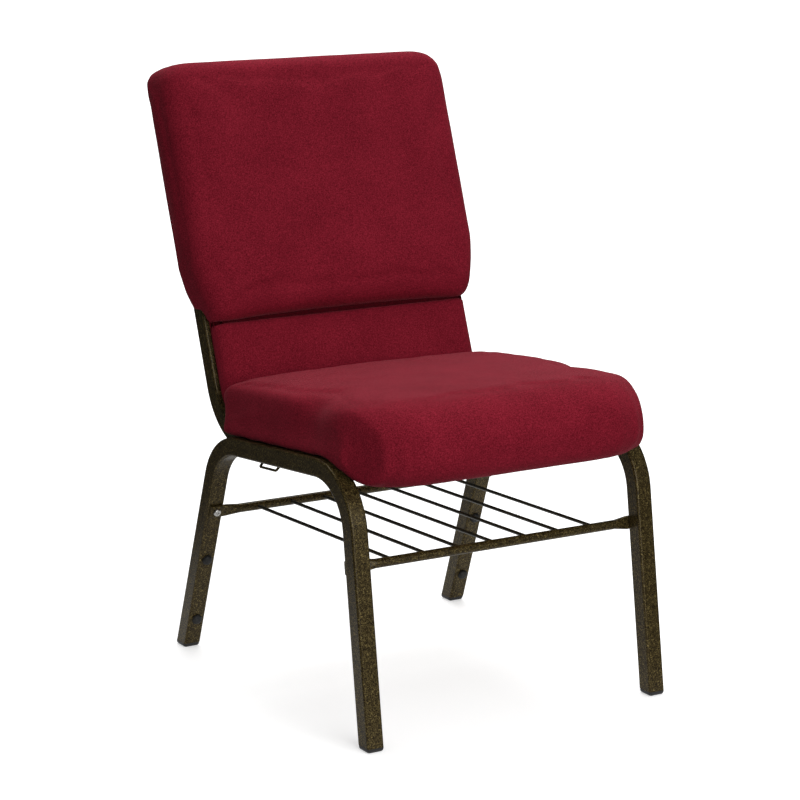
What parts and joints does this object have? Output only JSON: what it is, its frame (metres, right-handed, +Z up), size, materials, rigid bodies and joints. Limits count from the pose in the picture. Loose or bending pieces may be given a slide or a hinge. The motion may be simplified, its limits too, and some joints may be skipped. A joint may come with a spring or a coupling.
{
  "type": "stacking guest chair",
  "caption": "Stacking hall guest chair: bent square-tube steel frame, upholstered waterfall seat and bolster back, wire book rack under the seat, ganging loop and flip-out hook.",
  "frame": {"origin": "on the floor under the middle of the chair's overall box", "axes": "+Z up, the front of the chair faces -Y, +X to the right of a viewer in front looking along +Y"},
  "size_m": [0.4774, 0.6426, 0.8226],
  "materials": {
    "frame_coat": "hammered bronze vein powder coat, semi-gloss",
    "rack_coat": "dark bronze powder coat, semi-gloss",
    "zinc": "bright zinc plate",
    "bumper_rubber": "moulded matt rubber",
    "glide_plastic": "moulded nylon",
    "plywood": "unfinished plywood",
    "foam": "polyurethane foam",
    "cover_fabric": "fine woven burgundy upholstery fabric"
  },
  "bodies": {
    "chair": {"left_leg_frame": "frame_coat", "right_leg_frame": "frame_coat", "left_upright": "frame_coat", "right_upright": "frame_coat", "front_cross_rail": "frame_coat", "rear_cross_rail": "frame_coat", "lower_back_rail": "frame_coat", "upper_back_strap": "frame_coat", "rack_front_tube": "frame_coat", "rack_rear_tube": "frame_coat", "rack_wires": "rack_coat", "rack_screws": "zinc", "stack_bumpers": "bumper_rubber", "front_glides": "glide_plastic", "rear_glides": "glide_plastic", "gang_loop": "frame_coat", "gang_washer": "glide_plastic", "gang_rivet": "zinc", "seat_board": "plywood", "seat_tee_nuts": "zinc", "seat_screws": "zinc", "seat_foam": "foam", "seat_cover": "cover_fabric", "back_board": "plywood", "back_tee_nuts": "zinc", "back_screws": "zinc", "back_rear_panel": "plywood", "back_foam_upper": "foam", "back_foam_lower": "foam", "back_cover_upper": "cover_fabric", "back_cover_lower": "cover_fabric"},
    "gang_hook": {"gang_arm": "frame_coat"}
  },
  "joints": [
    {"name": "gang_hook_swing", "type": "hinge", "parent": "chair", "child": "gang_hook", "pos_m": [0.226, -0.04431, 0.32179], "axis": [0, -0.0976, -0.9952], "range_deg": [0, 90]}
  ]
}
